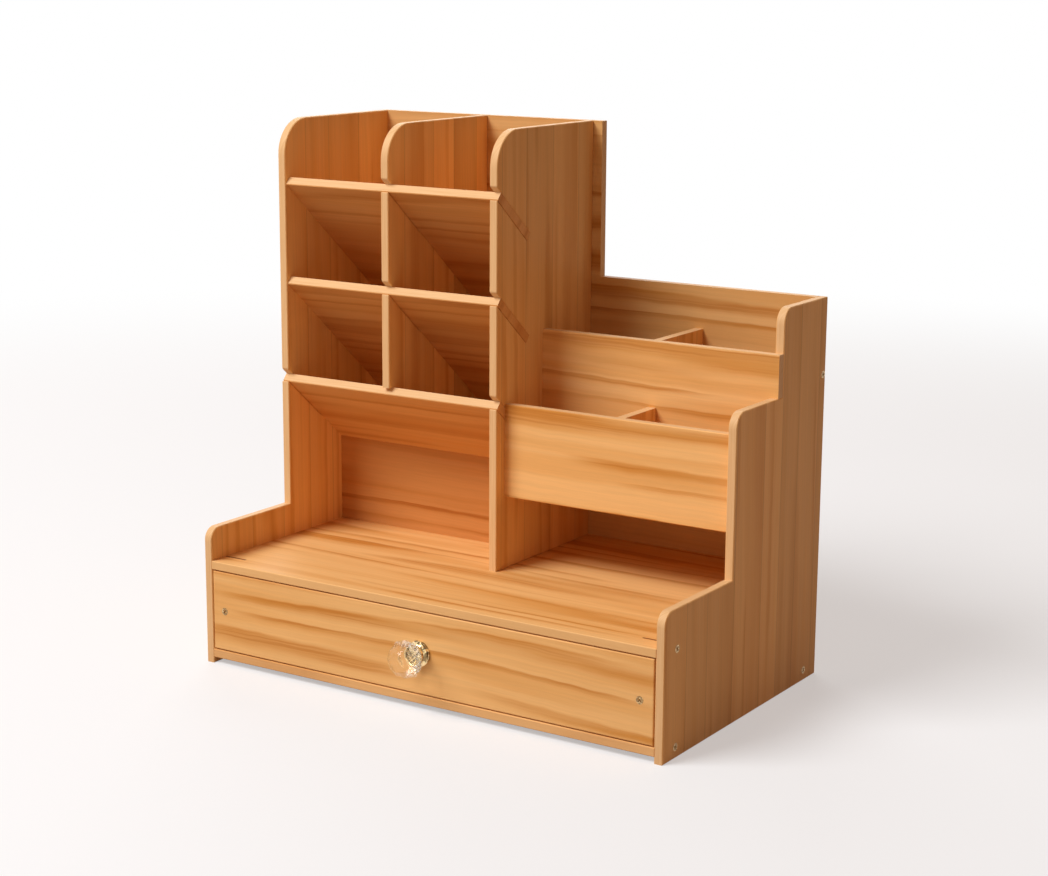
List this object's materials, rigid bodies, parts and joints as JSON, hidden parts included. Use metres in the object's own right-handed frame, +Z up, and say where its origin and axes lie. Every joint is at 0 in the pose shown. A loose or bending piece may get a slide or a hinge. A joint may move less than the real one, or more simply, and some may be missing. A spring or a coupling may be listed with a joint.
{
  "type": "desk organizer with drawer",
  "caption": "Wooden desk organizer with sloped pen trays, stepped bins, an open ledge and a base drawer with a crystal knob.",
  "frame": {"origin": "on the table under the middle of the bounding box, which includes the knob", "axes": "+Z up, +Y from the drawer front towards the back, +X to the right seen from the front"},
  "size_m": [0.251, 0.165, 0.256],
  "materials": {
    "foil_board": "satin foil over fibreboard",
    "dowel_wood": "plain",
    "screw_steel": "zinc plated",
    "knob_chrome": "polished",
    "crystal": "clear, cut facets"
  },
  "bodies": {
    "cabinet": {"left_side_panel": "foil_board", "right_side_panel": "foil_board", "rack_right_panel": "foil_board", "rack_middle_divider": "foil_board", "sloped_shelf_lower": "foil_board", "sloped_shelf_middle": "foil_board", "sloped_shelf_upper": "foil_board", "cubby_back_board": "foil_board", "base_top_board": "foil_board", "base_bottom_board": "foil_board", "base_back_board": "foil_board", "back_panel": "foil_board", "bin_front_board": "foil_board", "rear_bin_board": "foil_board", "bin_floor": "foil_board", "bin_divider": "foil_board", "left_side_screws": "screw_steel", "right_side_screws": "screw_steel", "back_screws": "screw_steel", "ledge_screws": "screw_steel", "base_back_screws": "screw_steel", "bin_dowels": "dowel_wood"},
    "drawer": {"drawer_front": "foil_board", "drawer_left_side": "foil_board", "drawer_right_side": "foil_board", "drawer_back": "foil_board", "drawer_bottom": "foil_board", "knob_cup": "knob_chrome", "knob_crystal": "crystal", "knob_washer": "screw_steel", "knob_bolt": "screw_steel", "drawer_front_screws": "screw_steel", "drawer_box_screws": "screw_steel"}
  },
  "joints": [
    {"name": "drawer_slide", "type": "slide", "parent": "cabinet", "child": "drawer", "axis": [0, -1, 0], "range_m": [0, 0.105]}
  ]
}
